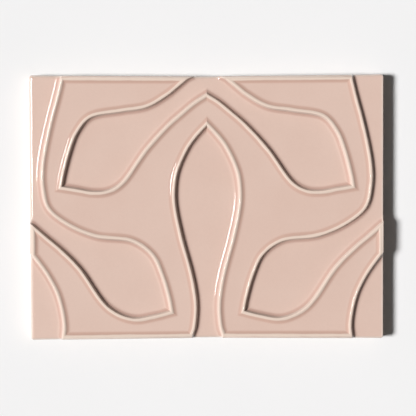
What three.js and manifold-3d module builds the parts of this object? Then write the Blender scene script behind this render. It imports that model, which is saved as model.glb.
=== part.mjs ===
// Ceramic accent tile with a raised-line relief of leaves and buds, pressed and fired in one piece.
//
// Millimetres. X runs along the tile, Y across it and Z up, out of the glazed face.
// The origin is the middle of the flat back, so the tile lies face up on the plane Z = 0.
//
// The face has three levels. Narrow ridges are the highest. The ground that surrounds the leaves
// and buds lies a little below them, and the leaves and buds themselves are sunk deepest.

import * as THREE from 'three';
import { mergeVertices } from 'three/addons/utils/BufferGeometryUtils.js';
import Module from 'manifold-3d';

// The body of the tile
const tileLength = 200;
const tileWidth = 150;
const bodyThickness = 9.5; // from the back to the floor of the leaves and buds
const edgeRound = 0.8; // softened edges round the face and the back
const cornerRound = 1.5; // the four corners, seen from above

// The ridges
const ridgeHeight = 2.8; // crest above the floor of the leaves and buds
const groundDrop = 0.7; // ground below the crest
const crestWidth = 1; // level top of a ridge
const wallRun = 1.3; // how far the steep side leans out, towards a leaf or bud
const slopeRun = 2.2; // how far the gentle side runs out, towards the ground

const outsideRun = 15; // how far past its edges the lines of the relief are closed off

// How finely round forms are cut into straight steps
const chordLength = 3;
const wallSteps = 3;
const slopeSteps = 2;
const edgeSteps = 2;

// The glaze
const glazeColor = 0xdcbdb0;
const glazeRoughness = 0.18;

const fullThickness = bodyThickness + ridgeHeight;

const wasm = await Module();
wasm.setup();

// The lines of the relief, as the middles of the ridges, on the left half of the tile.
// Places are hundredths of the half length and of the half width, from the middle of the tile,
// so the drawing follows the tile's size. A line that leaves the face runs on past the edge.
const leafBelly = [
	[0, 84.5], [-6.1, 79.4], [-13.4, 71.5], [-21.2, 62.4], [-33.7, 44.3],
	[-48.3, 18], [-56.2, 12.1], [-64.8, 11.3], [-74, 13.4], [-82.9, 15.3],
];
const leafBack = [
	[-82.9, 15.3], [-82, 22.5], [-77.8, 43.9], [-73.8, 57], [-66.2, 68.7],
	[-47.9, 73.6], [-33.9, 76.8], [-21.2, 86.6], [-10.8, 97.9], [-4.2, 107.5],
];
const sideLine = [
	[-79.7, 107.9], [-83, 87.9], [-88.4, 60.5], [-92.4, 33], [-92.6, 17],
	[-89.6, 0.4], [-79.6, -11.2], [-63.1, -20.8], [-42.2, -24.7], [-31.1, -35.2],
	[-25.2, -51.6], [-21, -71.8], [-20.1, -79.1],
];
const sideLeafBelly = [
	[-20.1, -79.1], [-29.8, -82.4], [-42.5, -84.5], [-56.4, -75.9], [-73.2, -45.3],
	[-84.5, -30.2], [-98.7, -14.6], [-105.9, -5.3],
];
const sideBud = [
	[-105.4, -23.4], [-97.7, -36.2], [-89.7, -51.3], [-84.4, -65.7], [-81.7, -79.9],
	[-80.9, -91], [-82.1, -108],
];
const stemAndBud = [
	[-11.7, -107.9], [-8.6, -96.4], [-7, -81.5], [-7, -70], [-9.2, -51.7],
	[-15.1, -22], [-18.7, 2.9], [-18.6, 18], [-16.9, 28.9], [-11.1, 45.6],
	[-6.6, 53.8], [0, 63.4],
];

function place([alongHundredths, acrossHundredths]) {
	const x = (alongHundredths / 100) * (tileLength / 2);
	const y = (acrossHundredths / 100) * (tileWidth / 2);
	return new THREE.Vector3(x, y, 0);
}

// Even steps along the smooth line through the given places
function stepsAlong(line) {
	const curve = new THREE.CatmullRomCurve3(line.map(place), false, 'centripetal');
	const count = Math.max(2, Math.round(curve.getLength() / chordLength));
	return curve.getSpacedPoints(count).map((point) => new THREE.Vector2(point.x, point.y));
}

// Where a line that has left the tile goes on to: straight out, square to the edge it crossed
function furtherOut(point) {
	const acrossLongEdge = Math.abs(point.y) > tileWidth / 2;
	if (acrossLongEdge) {
		return new THREE.Vector2(point.x, Math.sign(point.y) * (tileWidth / 2 + outsideRun));
	}
	return new THREE.Vector2(Math.sign(point.x) * (tileLength / 2 + outsideRun), point.y);
}

function isOutside(point) {
	return Math.abs(point.x) > tileLength / 2 || Math.abs(point.y) > tileWidth / 2;
}

// The edge of the ground, once round: from the point above the bud out over the left half,
// back to the tip of the bud, and mirrored over the right half
function groundOutline() {
	const leftHalf = [];
	for (const line of [leafBelly, leafBack, sideLine, sideLeafBelly, sideBud, stemAndBud]) {
		const steps = stepsAlong(line);
		const first = steps[0];
		const last = steps.at(-1);
		if (isOutside(first)) {
			leftHalf.push(furtherOut(first));
		} else {
			leftHalf.pop();
		}
		leftHalf.push(...steps);
		if (isOutside(last)) {
			leftHalf.push(furtherOut(last));
		}
	}
	const mirrored = leftHalf.slice(1, -1).map((point) => new THREE.Vector2(-point.x, point.y));
	return new THREE.Shape([...leftHalf, ...mirrored.reverse()]);
}

function roundedRectangle(length, width, radius) {
	const x = length / 2;
	const y = width / 2;
	const shape = new THREE.Shape();
	shape.moveTo(-x + radius, -y);
	shape.absarc(x - radius, -y + radius, radius, -Math.PI / 2, 0);
	shape.absarc(x - radius, y - radius, radius, 0, Math.PI / 2);
	shape.absarc(-x + radius, y - radius, radius, Math.PI / 2, Math.PI);
	shape.absarc(-x + radius, -y + radius, radius, Math.PI, Math.PI * 1.5);
	return shape;
}

function rectangle(length, width) {
	const x = length / 2;
	const y = width / 2;
	const corners = [[-x, -y], [x, -y], [x, y], [-x, y]];
	return new THREE.Shape(corners.map(([cornerX, cornerY]) => new THREE.Vector2(cornerX, cornerY)));
}

// An upright solid on a shape, with both of its ends rounded in. It fills bottom to top,
// and its shape grows by spread at the ends and by a further run between them.
function upright(shape, { bottom, top, spread, run, rise, steps }) {
	const geometry = new THREE.ExtrudeGeometry(shape, {
		depth: top - bottom - 2 * rise,
		curveSegments: edgeSteps,
		bevelEnabled: true,
		bevelThickness: rise,
		bevelSize: run,
		bevelOffset: spread,
		bevelSegments: steps,
	});
	geometry.translate(0, 0, bottom + rise);
	return toSolid(geometry);
}

function toSolid(geometry) {
	const bare = geometry.index ? geometry.toNonIndexed() : geometry.clone();
	bare.deleteAttribute('normal');
	bare.deleteAttribute('uv');
	const merged = mergeVertices(bare);
	return new wasm.Manifold(new wasm.Mesh({
		numProp: 3,
		vertProperties: new Float32Array(merged.attributes.position.array),
		triVerts: new Uint32Array(merged.index.array),
	}));
}

function toGeometry(solid) {
	const { vertProperties, triVerts } = solid.getMesh();
	const geometry = new THREE.BufferGeometry();
	geometry.setAttribute('position', new THREE.BufferAttribute(vertProperties, 3));
	geometry.setIndex(new THREE.BufferAttribute(triVerts, 1));
	geometry.computeVertexNormals();
	return geometry;
}

// A plain slab with the outline of the tile and softened edges, lying on Z = 0
function slab(thickness) {
	return upright(roundedRectangle(tileLength, tileWidth, cornerRound), {
		bottom: 0,
		top: thickness,
		spread: -edgeRound,
		run: edgeRound,
		rise: edgeRound,
		steps: edgeSteps,
	});
}

// The ground with its ridges, before it is hollowed: its sides fall steeply to the leaves and buds
function raisedGround(outline) {
	const mass = upright(outline, {
		bottom: edgeRound,
		top: fullThickness,
		spread: crestWidth / 2,
		run: wallRun,
		rise: ridgeHeight,
		steps: wallSteps,
	});
	return mass.intersect(slab(fullThickness));
}

// What is hollowed out of the ground inside its ridges, and inside the rim along the tile's edges
function groundHollow(outline) {
	const rimWidth = edgeRound + crestWidth;
	const sunk = {
		bottom: fullThickness - groundDrop,
		top: fullThickness + 2 * groundDrop,
		run: slopeRun,
		rise: groundDrop,
		steps: slopeSteps,
	};
	const betweenRidges = upright(outline, { ...sunk, spread: -crestWidth / 2 - slopeRun });
	const insideRim = upright(rectangle(tileLength, tileWidth), { ...sunk, spread: -rimWidth - slopeRun });
	return betweenRidges.intersect(insideRim);
}

function reliefTile() {
	const outline = groundOutline();
	const ground = raisedGround(outline).subtract(groundHollow(outline));
	const glaze = new THREE.MeshStandardMaterial({
		color: glazeColor,
		roughness: glazeRoughness,
		metalness: 0,
	});
	const tile = new THREE.Mesh(toGeometry(slab(bodyThickness).add(ground)), glaze);
	tile.name = 'relief_tile';
	return tile;
}

const part = new THREE.Group();
part.add(reliefTile());

export default part;
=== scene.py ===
import math

import bpy
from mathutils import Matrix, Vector
from mathutils.geometry import interpolate_bezier, intersect_line_line


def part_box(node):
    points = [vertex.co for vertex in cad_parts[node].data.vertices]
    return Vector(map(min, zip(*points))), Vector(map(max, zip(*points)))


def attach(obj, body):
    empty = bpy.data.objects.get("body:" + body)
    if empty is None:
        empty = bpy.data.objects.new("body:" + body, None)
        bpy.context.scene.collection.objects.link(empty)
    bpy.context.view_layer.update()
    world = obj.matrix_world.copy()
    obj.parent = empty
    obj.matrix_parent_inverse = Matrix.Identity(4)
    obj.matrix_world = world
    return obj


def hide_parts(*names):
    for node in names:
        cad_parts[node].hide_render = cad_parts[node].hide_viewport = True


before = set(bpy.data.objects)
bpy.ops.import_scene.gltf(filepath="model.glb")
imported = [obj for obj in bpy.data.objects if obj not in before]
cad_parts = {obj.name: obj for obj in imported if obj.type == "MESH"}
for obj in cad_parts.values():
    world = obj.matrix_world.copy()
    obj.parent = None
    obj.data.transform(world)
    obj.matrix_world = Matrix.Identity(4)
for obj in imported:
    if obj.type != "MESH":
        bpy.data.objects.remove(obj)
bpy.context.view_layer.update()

mm = 0.001
tileLow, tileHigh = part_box("relief_tile")
halfLength = (tileHigh.x - tileLow.x) / 2
halfWidth = (tileHigh.y - tileLow.y) / 2
crestTop = tileHigh.z
print("frame loaded, tile", round(halfLength * 2 / mm), "by", round(halfWidth * 2 / mm), "mm")


# camera: nearly straight above, a touch towards the upper edge, with a long lens
camera = {
    "place": (-13.3 * mm, 46.1 * mm, 1000 * mm),
    "turn": (-2.68, -0.81, -0.21),  # degrees
    "lens": 151.5,
    "sensor": 36,
    "clipStart": 10 * mm,
}


def addCamera():
    bpy.ops.object.select_all(action="DESELECT")
    turn = [math.radians(angle) for angle in camera["turn"]]
    bpy.ops.object.camera_add(location=camera["place"], rotation=turn)
    eye = bpy.context.active_object
    eye.name = "camera"
    eye.data.lens = camera["lens"]
    eye.data.sensor_width = camera["sensor"]
    eye.data.clip_start = camera["clipStart"]
    bpy.context.scene.camera = eye


addCamera()
print("camera placed")


# the tile and its relief, in mm: runs go sideways from ring to ring, drops go down
relief = {
    "lineStep": 0.9,  # spacing of the points along a ridge
    "fineSteps": 24,  # steps between two drawn points, before they are spaced evenly
    "crestHalf": 0.5,  # from the middle of a ridge to the top of its steep side
    "crestCrown": 0.06,  # how far the middle of the crest stands above its sides
    "outside": 9,  # how far past the tile a sunken field is drawn, before it is trimmed
    "farCorner": 15,  # the same beside the tile's corners, both ways
    "edgeRim": 1.3,  # strip along the tile's edge where the ground meets it
    "steepSide": [  # from the crest down into a leaf or bud: (run, drop)
        (0.10, 0.03), (0.14, 0.14), (0.16, 0.28), (0.20, 0.48), (0.24, 0.56), (0.26, 0.37),
        (0.30, 0.22), (0.30, 0.155), (0.40, 0.16), (0.50, 0.145), (0.50, 0.09), (0.50, 0.035),
        (0.35, 0.005),
    ],
    "gentleSide": [  # over the crest and down to the ground: (run, drop)
        (0.20, -0.04), (0.30, -0.02), (0.38, 0.03), (0.10, 0.03), (0.25, 0.10), (0.40, 0.18),
        (0.40, 0.155), (0.40, 0.095), (0.45, 0.066), (0.50, 0.048), (0.50, 0.024), (0.50, 0.008),
    ],
    "cornerRadius": 1.5,  # the tile's four corners, seen from above
    "cornerCuts": 4,
    "edgeRoll": 0.5,  # softened upper edge
    "longEdgeArc": (1.9, 2.2),  # the glaze rounds the long edges more: mm in from them, radius
    "leftEdgeArc": (2.0, 4.6),  # and the left end a little
    "rollRings": [2.0, 1.65, 1.3, 1.0, 0.75, 0.5, 0.36, 0.22, 0.1, 0.03],  # how far in from the edge
    "backRoll": 0.7,  # softened lower edge
    "backSteps": 4,
    "backSpacing": 0.3,  # closer points on the lower border are merged
    "mitreAngle": 35,  # degrees: a turn sharper than this, seen from above, stays a crisp edge
    "leastLean": 0.01,  # a face whose normal leans less than this counts as level
    "waist": 0.95,  # how far the long edges have drawn in at their middles in the firing
    "waistFrom": 66,  # how far from the middle of the tile that begins
    "mergeWithin": 0.002,  # points closer than this are one
    "cutWithin": 0.001,  # and points closer than this to a cut lie on it
}

# Middles of the ridges on the left half, in hundredths of the half length and half width.
# The two numbers in front keep that many mm beside the line's sharp ends free of points,
# so that the rings round them never cross.
ridges = {
    "leafBelly": (4, 4.2, [
        (0, 84.5), (-6.1, 79.4), (-13.4, 71.5), (-21.2, 62.4), (-33.7, 44.3), (-48.3, 18),
        (-56.2, 12.1), (-64.8, 11.3), (-74, 13.4), (-82.9, 15.3),
    ]),
    "leafBack": (4.2, 16, [
        (-82.9, 15.3), (-82, 22.5), (-77.8, 43.9), (-73.8, 57), (-66.2, 68.7), (-47.9, 73.6),
        (-33.9, 76.8), (-21.2, 86.6), (-10.8, 97.9), (-4.2, 107.5),
    ]),
    "sideLine": (5, 4.8, [
        (-79.7, 107.9), (-83, 87.9), (-88.4, 60.5), (-92.4, 33), (-92.6, 17), (-89.6, 0.4),
        (-79.6, -11.2), (-63.1, -20.8), (-42.2, -24.7), (-31.1, -35.2), (-25.2, -51.6),
        (-21, -71.8), (-20.1, -79.1),
    ]),
    "sideLeafBelly": (4.8, 12, [
        (-20.1, -79.1), (-29.8, -82.4), (-42.5, -84.5), (-56.4, -75.9), (-73.2, -45.3),
        (-84.5, -30.2), (-98.7, -14.6), (-105.9, -5.3),
    ]),
    "sideBud": (4, 5.5, [
        (-105.4, -23.4), (-97.7, -36.2), (-89.7, -51.3), (-84.4, -65.7), (-81.7, -79.9),
        (-80.9, -91), (-82.1, -108),
    ]),
    "stemAndBud": (5.5, 5, [
        (-11.7, -107.9), (-8.6, -96.4), (-7, -81.5), (-7, -70), (-9.2, -51.7), (-15.1, -22),
        (-18.7, 2.9), (-18.6, 18), (-16.9, 28.9), (-11.1, 45.6), (-6.6, 53.8), (0, 63.4),
    ]),
}


def isOnTile(point):
    return abs(point.x) <= halfLength and abs(point.y) <= halfWidth


def mirrored(line):
    return [Vector((-point.x, point.y, 0)) for point in reversed(line)]


def smoothLine(drawn):  # centripetal, so it never overshoots between the drawn points
    knots = [Vector((x / 100 * halfLength, y / 100 * halfWidth, 0)) for x, y in drawn]
    knots = [2 * knots[0] - knots[1]] + knots + [2 * knots[-1] - knots[-2]]
    line = [knots[1]]
    for before, start, end, after in zip(knots, knots[1:], knots[2:], knots[3:]):
        gapIn = math.sqrt((start - before).length)
        gap = math.sqrt((end - start).length)
        gapOut = math.sqrt((after - end).length)
        leave = (start - before) / gapIn - (end - before) / (gapIn + gap) + (end - start) / gap
        arrive = (end - start) / gap - (after - start) / (gap + gapOut) + (after - end) / gapOut
        leaveHandle = start + leave * gap / 3
        arriveHandle = end - arrive * gap / 3
        line += interpolate_bezier(start, leaveHandle, arriveHandle, end, relief["fineSteps"])[1:]
    return line


def leafSide(line):  # from the middle of a ridge to the top of its steep side
    moved = []
    for index, point in enumerate(line):
        along = (line[min(index + 1, len(line) - 1)] - line[max(index - 1, 0)]).normalized()
        moved.append(point + Vector((along.y, -along.x, 0)) * relief["crestHalf"] * mm)
    return moved


def mitre(lineIn, lineOut):  # the sharp corner where two moved lines meet
    return intersect_line_line(lineIn[-2], lineIn[-1], lineOut[0], lineOut[1])[0]


# where a line passes over the tile's edge, or over a line that far inward of it
def edgeCrossing(inside, outside, inward=0):
    limitX = math.copysign(halfLength - inward, outside.x)
    limitY = math.copysign(halfWidth - inward, outside.y)
    step = outside - inside
    if abs(outside.y) > halfWidth:
        return Vector((inside.x + step.x * (limitY - inside.y) / step.y, limitY, 0))
    return Vector((limitX, inside.y + step.y * (limitX - inside.x) / step.x, 0))


def evenSteps(line):
    lengths = [0]
    for start, end in zip(line, line[1:]):
        lengths.append(lengths[-1] + (end - start).length)
    count = round(lengths[-1] / (relief["lineStep"] * mm))
    even = [line[0]]
    passed = 0
    for index in range(1, count):
        target = lengths[-1] * index / count
        while lengths[passed + 1] < target:
            passed += 1
        share = (target - lengths[passed]) / (lengths[passed + 1] - lengths[passed])
        even.append(line[passed].lerp(line[passed + 1], share))
    return even + [line[-1]]


def keepFree(line, freeAtStart, freeAtEnd):
    kept = []
    for point in line[1:-1]:
        fromStart = (point - line[0]).length / mm
        fromEnd = (point - line[-1]).length / mm
        if fromStart > freeAtStart and fromEnd > freeAtEnd:
            kept.append(point)
    return [line[0]] + kept + [line[-1]]


def crestEdges():  # each line as (part before the tile, part on its face, part past it)
    lines = [leafSide(smoothLine(drawn)) for _, _, drawn in ridges.values()]
    for index, line in enumerate(lines):
        following = lines[index + 1] if index + 1 < len(lines) else mirrored(line)
        if isOnTile(line[-1]):
            line[-1] = mitre(line, following)
            following[0] = line[-1]
    lines[0][0] = mitre(mirrored(lines[0]), lines[0])
    edges = {}
    for (name, (freeAtStart, freeAtEnd, _)), line in zip(ridges.items(), lines):
        onTile = [index for index, point in enumerate(line) if isOnTile(point)]
        first, last = onTile[0], onTile[-1]
        face = line[first:last + 1]
        before, past = [], []
        if first > 0:
            face.insert(0, edgeCrossing(face[0], line[first - 1]))
            before.append(face[0] + (face[0] - face[1]).normalized() * relief["outside"] * mm)
        if last < len(line) - 1:
            face.append(edgeCrossing(face[-1], line[last + 1]))
            past.append(face[-1] + (face[-1] - face[-2]).normalized() * relief["outside"] * mm)
        face = keepFree(evenSteps(face), freeAtStart, freeAtEnd)
        if before:
            face.insert(1, edgeCrossing(face[1], before[0], relief["edgeRim"] * mm))
        if past:
            face.insert(-1, edgeCrossing(face[-2], past[0], relief["edgeRim"] * mm))
        edges[name] = before, face, past
    return edges


def whole(edge):
    before, face, past = edge
    return before + face + past


def addField(name, outline, height):  # a flat ring of points filled with one face
    bpy.ops.object.select_all(action="DESELECT")
    bpy.ops.mesh.primitive_circle_add(vertices=len(outline), radius=halfWidth, fill_type="NGON")
    field = bpy.context.active_object
    field.name = name
    for vertex, point in zip(field.data.vertices, outline):
        vertex.co = (point.x, point.y, height)
    field.data.update()
    return field


def joinPieces(pieces, name):
    bpy.ops.object.select_all(action="DESELECT")
    for piece in pieces:
        piece.select_set(True)
    bpy.context.view_layer.objects.active = pieces[0]
    bpy.ops.object.join()
    pieces[0].name = name
    return pieces[0]


def editOnly(piece):
    bpy.ops.object.select_all(action="DESELECT")
    piece.select_set(True)
    bpy.context.view_layer.objects.active = piece
    bpy.ops.object.mode_set(mode="EDIT")


def ringsInward(profile):  # works on the selected faces of the piece in edit mode
    for run, drop in profile:
        bpy.ops.mesh.inset(thickness=run * mm, depth=-drop * mm, use_individual=True)


def markSide(piece, value):  # tells the glaze a ridge's steep side from its gentle side
    side = piece.data.attributes.new("steepSide", "FLOAT", "POINT")
    for point in side.data:
        point.value = value


def sunkenFields(edges, height):
    farCorner = Vector((-halfLength, halfWidth, 0)) + Vector((-1, 1, 0)) * relief["farCorner"] * mm
    lowFarCorner = Vector((farCorner.x, -farCorner.y, 0))
    upperLeaves = whole(edges["leafBelly"]) + whole(edges["leafBack"])[1:]
    upperLeaves += mirrored(upperLeaves)[:-1]
    bud = whole(edges["stemAndBud"])
    bud += mirrored(bud)[1:]
    sideField = whole(edges["sideLine"]) + whole(edges["sideLeafBelly"])[1:] + [farCorner]
    cornerBud = whole(edges["sideBud"]) + [lowFarCorner]
    outlines = [upperLeaves, bud]
    for leftOutline in (sideField, cornerBud):
        outlines += [leftOutline, mirrored(leftOutline)]
    fields = [addField("sunken", outline[::-1], height) for outline in outlines]
    sunken = joinPieces(fields, "sunken")
    editOnly(sunken)
    bpy.ops.mesh.select_all(action="SELECT")
    ringsInward(relief["steepSide"])
    bpy.ops.object.mode_set(mode="OBJECT")
    markSide(sunken, 1)
    return sunken


def cutSheet(place, normal, trim=False):
    bpy.ops.mesh.select_all(action="SELECT")
    bpy.ops.mesh.bisect(plane_co=place, plane_no=normal, clear_outer=trim,
                        threshold=relief["cutWithin"] * mm)


def cutAlongSides(inward, trim=False):  # four straight cuts, this far in from the tile's edges
    for side in (-1, 1):
        cutSheet((side * (halfLength - inward), 0, 0), (side, 0, 0), trim)
        cutSheet((0, side * (halfWidth - inward), 0), (0, side, 0), trim)


def groundField(edges, height):
    outline = []
    for _, face, _ in edges.values():
        shared = outline and (outline[-1] - face[0]).length == 0
        outline += face[1:] if shared else face
    outline += mirrored(outline)[1:-1]
    ground = addField("ground", outline, height)
    editOnly(ground)
    cutAlongSides(relief["edgeRim"] * mm)
    bpy.ops.mesh.select_all(action="DESELECT")
    bpy.ops.object.mode_set(mode="OBJECT")
    insideRim = max(ground.data.polygons, key=lambda face: face.area)
    insideRim.select = True
    bpy.ops.object.mode_set(mode="EDIT")
    bpy.ops.mesh.select_mode(type="FACE")
    ringsInward(relief["gentleSide"])
    bpy.ops.object.mode_set(mode="OBJECT")
    markSide(ground, 0)
    return ground


def insideEdge(point, radius):  # how far in from the rounded outline of the tile, in metres
    x = halfLength - abs(point.x)
    y = halfWidth - abs(point.y)
    if x < radius and y < radius:
        return radius - math.hypot(radius - x, radius - y)
    return min(x, y)


def trimCorners():
    radius = relief["cornerRadius"] * mm
    for sideX in (-1, 1):
        for sideY in (-1, 1):
            centre = Vector((sideX * (halfLength - radius), sideY * (halfWidth - radius), 0))
            for cut in range(relief["cornerCuts"]):
                angle = math.pi / 2 * (cut + 1) / (relief["cornerCuts"] + 1)
                normal = Vector((sideX * math.cos(angle), sideY * math.sin(angle), 0))
                cutSheet(centre + normal * radius, normal, trim=True)


def arcDrop(inward, arc):  # how far a surface has sunk along an arc that begins at its run
    run, radius = arc[0] * mm, arc[1] * mm
    beyond = min(max(run - inward, 0), radius)
    return radius - math.sqrt(radius ** 2 - beyond ** 2)


def rollEdge(tile):  # the sheet bends down along its border
    roll = relief["edgeRoll"]
    for vertex in tile.data.vertices:
        place = vertex.co.copy()
        vertex.co.z -= arcDrop(max(0, insideEdge(place, relief["cornerRadius"] * mm)), (roll, roll))
        vertex.co.z -= arcDrop(halfWidth - abs(place.y), relief["longEdgeArc"])
        vertex.co.z -= arcDrop(halfLength + place.x, relief["leftEdgeArc"])


def closeBody():  # from the border down the sides and over the back, in edit mode
    roll = relief["backRoll"] * mm
    bpy.ops.mesh.select_mode(type="EDGE")
    bpy.ops.mesh.select_all(action="DESELECT")
    bpy.ops.mesh.select_non_manifold(use_wire=False, use_multi_face=False, use_non_contiguous=False,
                                     use_verts=False)
    bpy.ops.mesh.extrude_edges_move()
    bpy.ops.transform.resize(value=(1, 1, 0), center_override=(0, 0, roll))
    bpy.ops.mesh.remove_doubles(threshold=relief["backSpacing"] * mm)
    bpy.ops.mesh.edge_face_add()
    bpy.ops.mesh.select_mode(type="FACE")
    for step in range(relief["backSteps"]):
        start, end = [math.pi / 2 * (step + more) / relief["backSteps"] for more in (0, 1)]
        run = roll * (math.cos(start) - math.cos(end))
        rise = roll * (math.sin(end) - math.sin(start))
        bpy.ops.mesh.inset(thickness=run, depth=rise, use_individual=True)
    bpy.ops.mesh.inset(thickness=roll, depth=0, use_individual=True)


def crispMitres(tile):  # sharp ends of leaves and buds keep their edge, everything else is smooth
    faces = tile.data.polygons
    neighbours = {}
    for face in faces:
        for edge in face.edge_keys:
            neighbours.setdefault(edge, []).append(face.normal.xy)
    steepest = math.radians(relief["mitreAngle"])
    for edge in tile.data.edges:
        first, second = neighbours[edge.key]
        bothLean = min(first.length, second.length) > relief["leastLean"]
        edge.use_edge_sharp = bothLean and first.angle(second) > steepest and onFace(tile, edge)


def onFace(tile, edge):  # neither end lies on the border
    border = relief["cutWithin"] * mm
    return all(insideEdge(tile.data.vertices[corner].co, 0) > border for corner in edge.vertices)


def drawInWaist(tile):  # the long edges only, most at their middles
    begins = relief["waistFrom"] * mm
    for vertex in tile.data.vertices:
        beyond = max(0, abs(vertex.co.y) - begins) / (halfWidth - begins)
        eased = beyond ** 2 * (3 - 2 * beyond)
        drawn = relief["waist"] * mm * (1 - (vertex.co.x / halfLength) ** 2)
        vertex.co.y -= math.copysign(drawn * eased, vertex.co.y)


def modelTile():
    height = crestTop - relief["crestCrown"] * mm
    edges = crestEdges()
    tile = joinPieces([groundField(edges, height), sunkenFields(edges, height)], "glazed_tile")
    editOnly(tile)
    bpy.ops.mesh.select_all(action="SELECT")
    bpy.ops.mesh.remove_doubles(threshold=relief["mergeWithin"] * mm)
    cutAlongSides(0, trim=True)
    trimCorners()
    for ring in relief["rollRings"]:
        cutAlongSides(ring * mm)
    bpy.ops.object.mode_set(mode="OBJECT")
    rollEdge(tile)
    bpy.ops.object.mode_set(mode="EDIT")
    closeBody()
    bpy.ops.mesh.select_all(action="SELECT")
    bpy.ops.mesh.normals_make_consistent(inside=False)
    bpy.ops.object.mode_set(mode="OBJECT")
    bpy.ops.object.shade_smooth()
    crispMitres(tile)
    drawInWaist(tile)
    return tile


tile = modelTile()
print("tile modelled,", len(tile.data.polygons), "faces")


# glaze: an uneven value is its size in mm, its amount and, for some, its detail
glazeLook = {
    "pink": (0.725, 0.53, 0.447),  # on the level fields
    "mottled": (0.66, 0.45, 0.37),  # in the clouds over the fields
    "mottle": 0.25,  # how far the clouds turn to that colour
    "clouds": (26, 1.0, 4.0),
    "cloudRange": (-0.2, 0.25),
    "speckle": (1.3, 0.05),
    # mm above the floor of a leaf or bud, or above the ground
    "leafFootGlazeAndShade": (0.60, 0.395, 0.325),  # pooled glaze at the foot of a ridge in a leaf or bud, made darker and redder as painted shade with the red of light bounced into the hollow
    "leafPoolAndShadeBand": (0.0, 0.33, 0.85, 1.3),  # there it begins, is full, fades and ends
    "groundFootGlazeAndShade": (0.60, 0.395, 0.32),  # and the same on the ground: pooled glaze and painted shade
    "groundPoolAndShadeBand": (0.0, 0.10, 0.35, 0.7),
    "wallGlazeAndSheen": (0.72, 0.575, 0.495),  # thin glaze over the steep sides, made paler as painted sheen too
    "wallGlazeAndSheenRise": (0.85, 1.3),
    "dullSlope": (0.02, 0.07, 0.45, 0.55),  # gentle sides that have lost their sheen
    "shinePlace": (-48, 22),  # mm from the middle of the tile: round here they shine too
    "shineFade": (30, 42),  # mm from that place, where this begins to go and is gone
    # mm above the back
    "cream": (0.79, 0.635, 0.535),  # thin over crests
    "crestFade": (11.96, 12.2),
    "crestWander": (9, 0.5),
    "glazeLine": 4.5,  # where the glaze ends on the sides
    "lineWander": (14, 3.0, 3.0),
    "lineSoftness": 0.15,
    "edgeRise": (8.7, 9.2),  # no thin edge below this
    # mm in from the tile's edge
    "thinnest": (0.78, 0.68, 0.60),  # along the tile's edges
    "edgeFade": (1.2, 0.4),
    "edgeWander": (6, 0.6),
    "edgeEnd": (0.3, 0.55),  # nearer than this the sides begin, pink again
    # surface
    "roughness": 0.55,  # under the clear coat
    "coatRoughness": 0.05,
    "coatIor": 1.5,
    "ior": 1.45,
    "waves": (17, 0.05),
    "ripples": (4, 0.006),
}

# bare body, on the back and low on the sides
clayLook = {
    "color": (0.58, 0.49, 0.39),
    "speck": (0.5, 0.38, 0.27),
    "speckShare": 0.35,  # how far a speck turns to that colour
    "specks": (0.9, 1.0, 5.0),
    "speckRange": (0.12, 0.2),
    "grain": (0.7, 0.09, 4.0),
    "roughness": 0.85,
}


def newGroup(name, inputs, outputs):
    group = bpy.data.node_groups.new(name, "ShaderNodeTree")
    for socket, kind, value in inputs:
        made = group.interface.new_socket(socket, in_out="INPUT", socket_type=kind)
        if value is not None:
            made.default_value = value
    for socket, kind in outputs:
        group.interface.new_socket(socket, in_out="OUTPUT", socket_type=kind)
    return group, group.nodes.new("NodeGroupInput"), group.nodes.new("NodeGroupOutput")


def addNode(tree, kind, values=None, **settings):
    node = tree.nodes.new(kind)
    for setting, value in settings.items():
        setattr(node, setting, value)
    for socket, value in (values or {}).items():
        if isinstance(value, bpy.types.NodeSocket):
            tree.links.new(value, node.inputs[socket])
        else:
            node.inputs[socket].default_value = value
    return node


def mathNode(tree, operation, first, second=0.0):
    return addNode(tree, "ShaderNodeMath", {0: first, 1: second}, operation=operation).outputs[0]


def rampNode(tree, value, low, high):  # 0 at low, 1 at high, smooth between
    node = addNode(tree, "ShaderNodeMapRange", {"Value": value, "From Min": low, "From Max": high},
                   interpolation_type="SMOOTHSTEP")
    return node.outputs["Result"]


def mixColor(tree, share, first, second):  # a mix node's colours are sockets 6 and 7, and come out of 2
    node = addNode(tree, "ShaderNodeMix", {"Factor": share}, data_type="RGBA")
    for socket, value in ((6, first), (7, second)):
        if isinstance(value, bpy.types.NodeSocket):
            tree.links.new(value, node.inputs[socket])
        else:
            node.inputs[socket].default_value = (*value, 1)
    return node.outputs[2]


def inMillimetres(tree):
    place = addNode(tree, "ShaderNodeTexCoord").outputs["Object"]
    scaled = addNode(tree, "ShaderNodeVectorMath", {0: place, "Scale": 1 / mm}, operation="SCALE")
    return scaled.outputs["Vector"]


def unevennessGroup():  # soft cloudy variation, size in mm, centred on zero
    group, given, result = newGroup("unevenness", [
        ("Place", "NodeSocketVector", None), ("Size", "NodeSocketFloat", 20.0),
        ("Detail", "NodeSocketFloat", 2.0), ("Amount", "NodeSocketFloat", 1.0),
    ], [("Value", "NodeSocketFloat")])
    scale = mathNode(group, "DIVIDE", 1.0, given.outputs["Size"])
    noise = addNode(group, "ShaderNodeTexNoise", {
        "Vector": given.outputs["Place"], "Scale": scale, "Detail": given.outputs["Detail"],
    })
    centred = mathNode(group, "SUBTRACT", noise.outputs["Fac"], 0.5)
    value = mathNode(group, "MULTIPLY", centred, given.outputs["Amount"])
    group.links.new(value, result.inputs["Value"])
    return group


def uneven(tree, place, size, amount, detail=2.0):
    node = tree.nodes.new("ShaderNodeGroup")
    node.node_tree = bpy.data.node_groups["unevenness"]
    tree.links.new(place, node.inputs["Place"])
    node.inputs["Size"].default_value = size
    node.inputs["Amount"].default_value = amount
    node.inputs["Detail"].default_value = detail
    return node.outputs["Value"]


def newMaterial(name):
    material = bpy.data.materials.new(name)
    material.use_nodes = True
    material.node_tree.nodes.clear()
    shader = addNode(material.node_tree, "ShaderNodeBsdfPrincipled")
    output = addNode(material.node_tree, "ShaderNodeOutputMaterial")
    material.node_tree.links.new(shader.outputs["BSDF"], output.inputs["Surface"])
    return material, material.node_tree, shader


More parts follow.
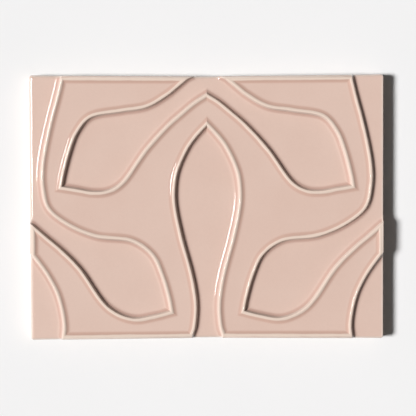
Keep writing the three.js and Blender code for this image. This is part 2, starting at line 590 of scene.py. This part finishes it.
def floorHeight(profile):  # mm above the back
    return crestTop / mm - relief["crestCrown"] - sum(drop for _, drop in relief[profile])


def bandOver(tree, height, profile, band):  # 1 between two heights over a floor, fading below and above
    aboveFloor = mathNode(tree, "SUBTRACT", height, floorHeight(profile))
    begins, full, fades, ends = band
    return mathNode(tree, "MULTIPLY", rampNode(tree, aboveFloor, begins, full),
                    rampNode(tree, aboveFloor, ends, fades))


def thinEdge(tree, place, axes):  # a strip along the tile's edges, down to its pink sides
    fromEnd = mathNode(tree, "SUBTRACT", halfLength / mm, mathNode(tree, "ABSOLUTE", axes["X"]))
    share = mathNode(tree, "DIVIDE", axes["X"], halfLength / mm)
    waistShare = mathNode(tree, "SUBTRACT", 1.0, mathNode(tree, "MULTIPLY", share, share))
    drawnIn = mathNode(tree, "MULTIPLY", waistShare, relief["waist"])  # as drawInWaist has it
    sideAt = mathNode(tree, "SUBTRACT", halfWidth / mm, drawnIn)
    fromSide = mathNode(tree, "SUBTRACT", sideAt, mathNode(tree, "ABSOLUTE", axes["Y"]))
    fromEdge = mathNode(tree, "MINIMUM", fromEnd, fromSide)
    wandering = mathNode(tree, "ADD", fromEdge, uneven(tree, place, *glazeLook["edgeWander"]))
    nearEdge = rampNode(tree, wandering, *glazeLook["edgeFade"])
    beforeSides = mathNode(tree, "MULTIPLY", rampNode(tree, axes["Z"], *glazeLook["edgeRise"]),
                           rampNode(tree, fromEdge, *glazeLook["edgeEnd"]))
    return mathNode(tree, "MULTIPLY", nearEdge, beforeSides)


def glazeColor(tree, place, axes, steep, gentle):
    height = axes["Z"]
    clouds = rampNode(tree, uneven(tree, place, *glazeLook["clouds"]), *glazeLook["cloudRange"])
    mottle = mathNode(tree, "MULTIPLY", clouds, glazeLook["mottle"])
    color = mixColor(tree, mottle, glazeLook["pink"], glazeLook["mottled"])

    # it pools at the foot of the ridges, and painted shade darkens and reddens these feet too
    for profile, side, field in (("steepSide", steep, "leaf"), ("gentleSide", gentle, "ground")):
        foot = bandOver(tree, height, profile, glazeLook[field + "PoolAndShadeBand"])
        pooledAndShaded = mathNode(tree, "MULTIPLY", side, foot)
        # the foot colour is pooled glaze and painted shade together
        color = mixColor(tree, pooledAndShaded, color, glazeLook[field + "FootGlazeAndShade"])

    # and it is thin over the steep sides, the crests and the tile's edges; on the steep sides the paler
    # colour is also painted sheen
    aboveLeaf = mathNode(tree, "SUBTRACT", height, floorHeight("steepSide"))
    onWallGlazeAndSheen = mathNode(tree, "MULTIPLY", steep, rampNode(tree, aboveLeaf, *glazeLook["wallGlazeAndSheenRise"]))
    # thin glaze and painted sheen on the steep sides
    color = mixColor(tree, onWallGlazeAndSheen, color, glazeLook["wallGlazeAndSheen"])
    crestHeight = mathNode(tree, "ADD", height, uneven(tree, place, *glazeLook["crestWander"]))
    onCrest = rampNode(tree, crestHeight, *glazeLook["crestFade"])
    color = mixColor(tree, onCrest, color, glazeLook["cream"])
    color = mixColor(tree, thinEdge(tree, place, axes), color, glazeLook["thinnest"])

    speckle = mathNode(tree, "ADD", 1.0, uneven(tree, place, *glazeLook["speckle"]))
    speckled = addNode(tree, "ShaderNodeVectorMath", {0: color, "Scale": speckle}, operation="SCALE")
    return speckled.outputs["Vector"]


def clayColor(tree, place):
    specks = rampNode(tree, uneven(tree, place, *clayLook["specks"]), *clayLook["speckRange"])
    speckShare = mathNode(tree, "MULTIPLY", specks, clayLook["speckShare"])
    return mixColor(tree, speckShare, clayLook["color"], clayLook["speck"])


def glazeSheen(tree, axes, covered, gentle):  # lost on the gentle sides, but for one part of the tile
    overTile = addNode(tree, "ShaderNodeCombineXYZ", {"X": axes["X"], "Y": axes["Y"]})
    fromShine = addNode(tree, "ShaderNodeVectorMath", {
        0: overTile.outputs["Vector"], 1: (*glazeLook["shinePlace"], 0),
    }, operation="DISTANCE").outputs["Value"]
    band = bandOver(tree, axes["Z"], "gentleSide", glazeLook["dullSlope"])
    slope = mathNode(tree, "MULTIPLY", gentle, band)
    dull = mathNode(tree, "MULTIPLY", slope, rampNode(tree, fromShine, *glazeLook["shineFade"]))
    return mathNode(tree, "MULTIPLY", covered, mathNode(tree, "SUBTRACT", 1.0, dull))


def surfaceBump(tree, place, covered):  # the glaze is a little wavy, the clay is grainy
    waves = mathNode(tree, "ADD", uneven(tree, place, *glazeLook["waves"]),
                     uneven(tree, place, *glazeLook["ripples"]))
    bare = mathNode(tree, "SUBTRACT", 1.0, covered)
    grain = mathNode(tree, "MULTIPLY", uneven(tree, place, *clayLook["grain"]), bare)
    bump = addNode(tree, "ShaderNodeBump", {
        "Height": mathNode(tree, "ADD", waves, grain), "Distance": mm, "Strength": 1.0,
    })
    return bump.outputs["Normal"]


def glazeMaterial():
    material, tree, shader = newMaterial("pinkGlazeOverClay")
    place = inMillimetres(tree)
    axes = addNode(tree, "ShaderNodeSeparateXYZ", {"Vector": place}).outputs
    steep = addNode(tree, "ShaderNodeAttribute", attribute_name="steepSide").outputs["Fac"]
    gentle = mathNode(tree, "SUBTRACT", 1.0, steep)

    # the glaze ends in a wavy line low on the sides
    line = glazeLook["glazeLine"]
    soft = glazeLook["lineSoftness"]
    lineHeight = mathNode(tree, "ADD", axes["Z"], uneven(tree, place, *glazeLook["lineWander"]))
    covered = rampNode(tree, lineHeight, line - soft, line + soft)

    glaze = glazeColor(tree, place, axes, steep, gentle)
    color = mixColor(tree, covered, clayColor(tree, place), glaze)
    roughness = addNode(tree, "ShaderNodeMapRange", {
        "Value": covered, "To Min": clayLook["roughness"], "To Max": glazeLook["roughness"],
    }).outputs["Result"]
    sheen = glazeSheen(tree, axes, covered, gentle)
    normal = surfaceBump(tree, place, covered)
    for socket, value in (("Base Color", color), ("Roughness", roughness),
                          ("Coat Weight", sheen), ("Normal", normal)):
        tree.links.new(value, shader.inputs[socket])
    shader.inputs["Coat Roughness"].default_value = glazeLook["coatRoughness"]
    shader.inputs["Coat IOR"].default_value = glazeLook["coatIor"]
    shader.inputs["IOR"].default_value = glazeLook["ior"]
    return material


unevennessGroup()
tile.data.materials.clear()
tile.data.materials.append(glazeMaterial())
print("glaze on")


# studio
studio = {
    "floorSize": 4,
    "floorColor": (0.86, 0.855, 0.855),
    "floorShade": 0.985,  # of that colour, in faint clouds
    "floorClouds": (120, 1.0, 3.0),  # size in mm, amount, detail
    "floorCloudRange": (-0.3, 0.3),
    "floorRoughness": 0.75,
    "floorSpecular": 0.2,
    "key": (182.5, 49.5, 4.1, 14),  # azimuth and elevation in degrees, strength, spread in degrees
    "gloss": (173.5, 65, 0.9, 11),  # the same for a light that is only seen mirrored in the glaze
    "lowGloss": (178, 8, 0.6, 50),  # and for one near the horizon
    "fill": (1.0, 1.0, 1.0),
    "fillStrength": 0.065,
}


def addFloor():
    bpy.ops.object.select_all(action="DESELECT")
    bpy.ops.mesh.primitive_plane_add(size=studio["floorSize"], location=(0, 0, 0))
    floor = bpy.context.active_object
    floor.name = "floor"
    material, tree, shader = newMaterial("paleTable")
    place = inMillimetres(tree)
    clouds = uneven(tree, place, *studio["floorClouds"])
    shade = rampNode(tree, clouds, *studio["floorCloudRange"])
    darker = [part * studio["floorShade"] for part in studio["floorColor"]]
    color = mixColor(tree, shade, studio["floorColor"], darker)
    tree.links.new(color, shader.inputs["Base Color"])
    shader.inputs["Roughness"].default_value = studio["floorRoughness"]
    shader.inputs["Specular IOR Level"].default_value = studio["floorSpecular"]
    floor.data.materials.append(material)


def addSun(name):
    azimuth, elevation, strength, spread = studio[name]
    turn = (0, math.radians(90 - elevation), math.radians(azimuth))
    bpy.ops.object.light_add(type="SUN", rotation=turn)
    sun = bpy.context.active_object
    sun.name = name
    sun.data.energy = strength
    sun.data.angle = math.radians(spread)
    return sun


def addLights():
    addSun("key").visible_glossy = False
    addSun("gloss").visible_diffuse = False
    addSun("lowGloss").visible_diffuse = False
    world = bpy.data.worlds.new("studio")
    world.use_nodes = True
    background = world.node_tree.nodes["Background"]
    background.inputs["Color"].default_value = (*studio["fill"], 1)
    background.inputs["Strength"].default_value = studio["fillStrength"]
    bpy.context.scene.world = world


addFloor()
addLights()
bpy.context.scene.view_settings.view_transform = "Standard"
print("studio lit")


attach(tile, "root")
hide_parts("relief_tile")
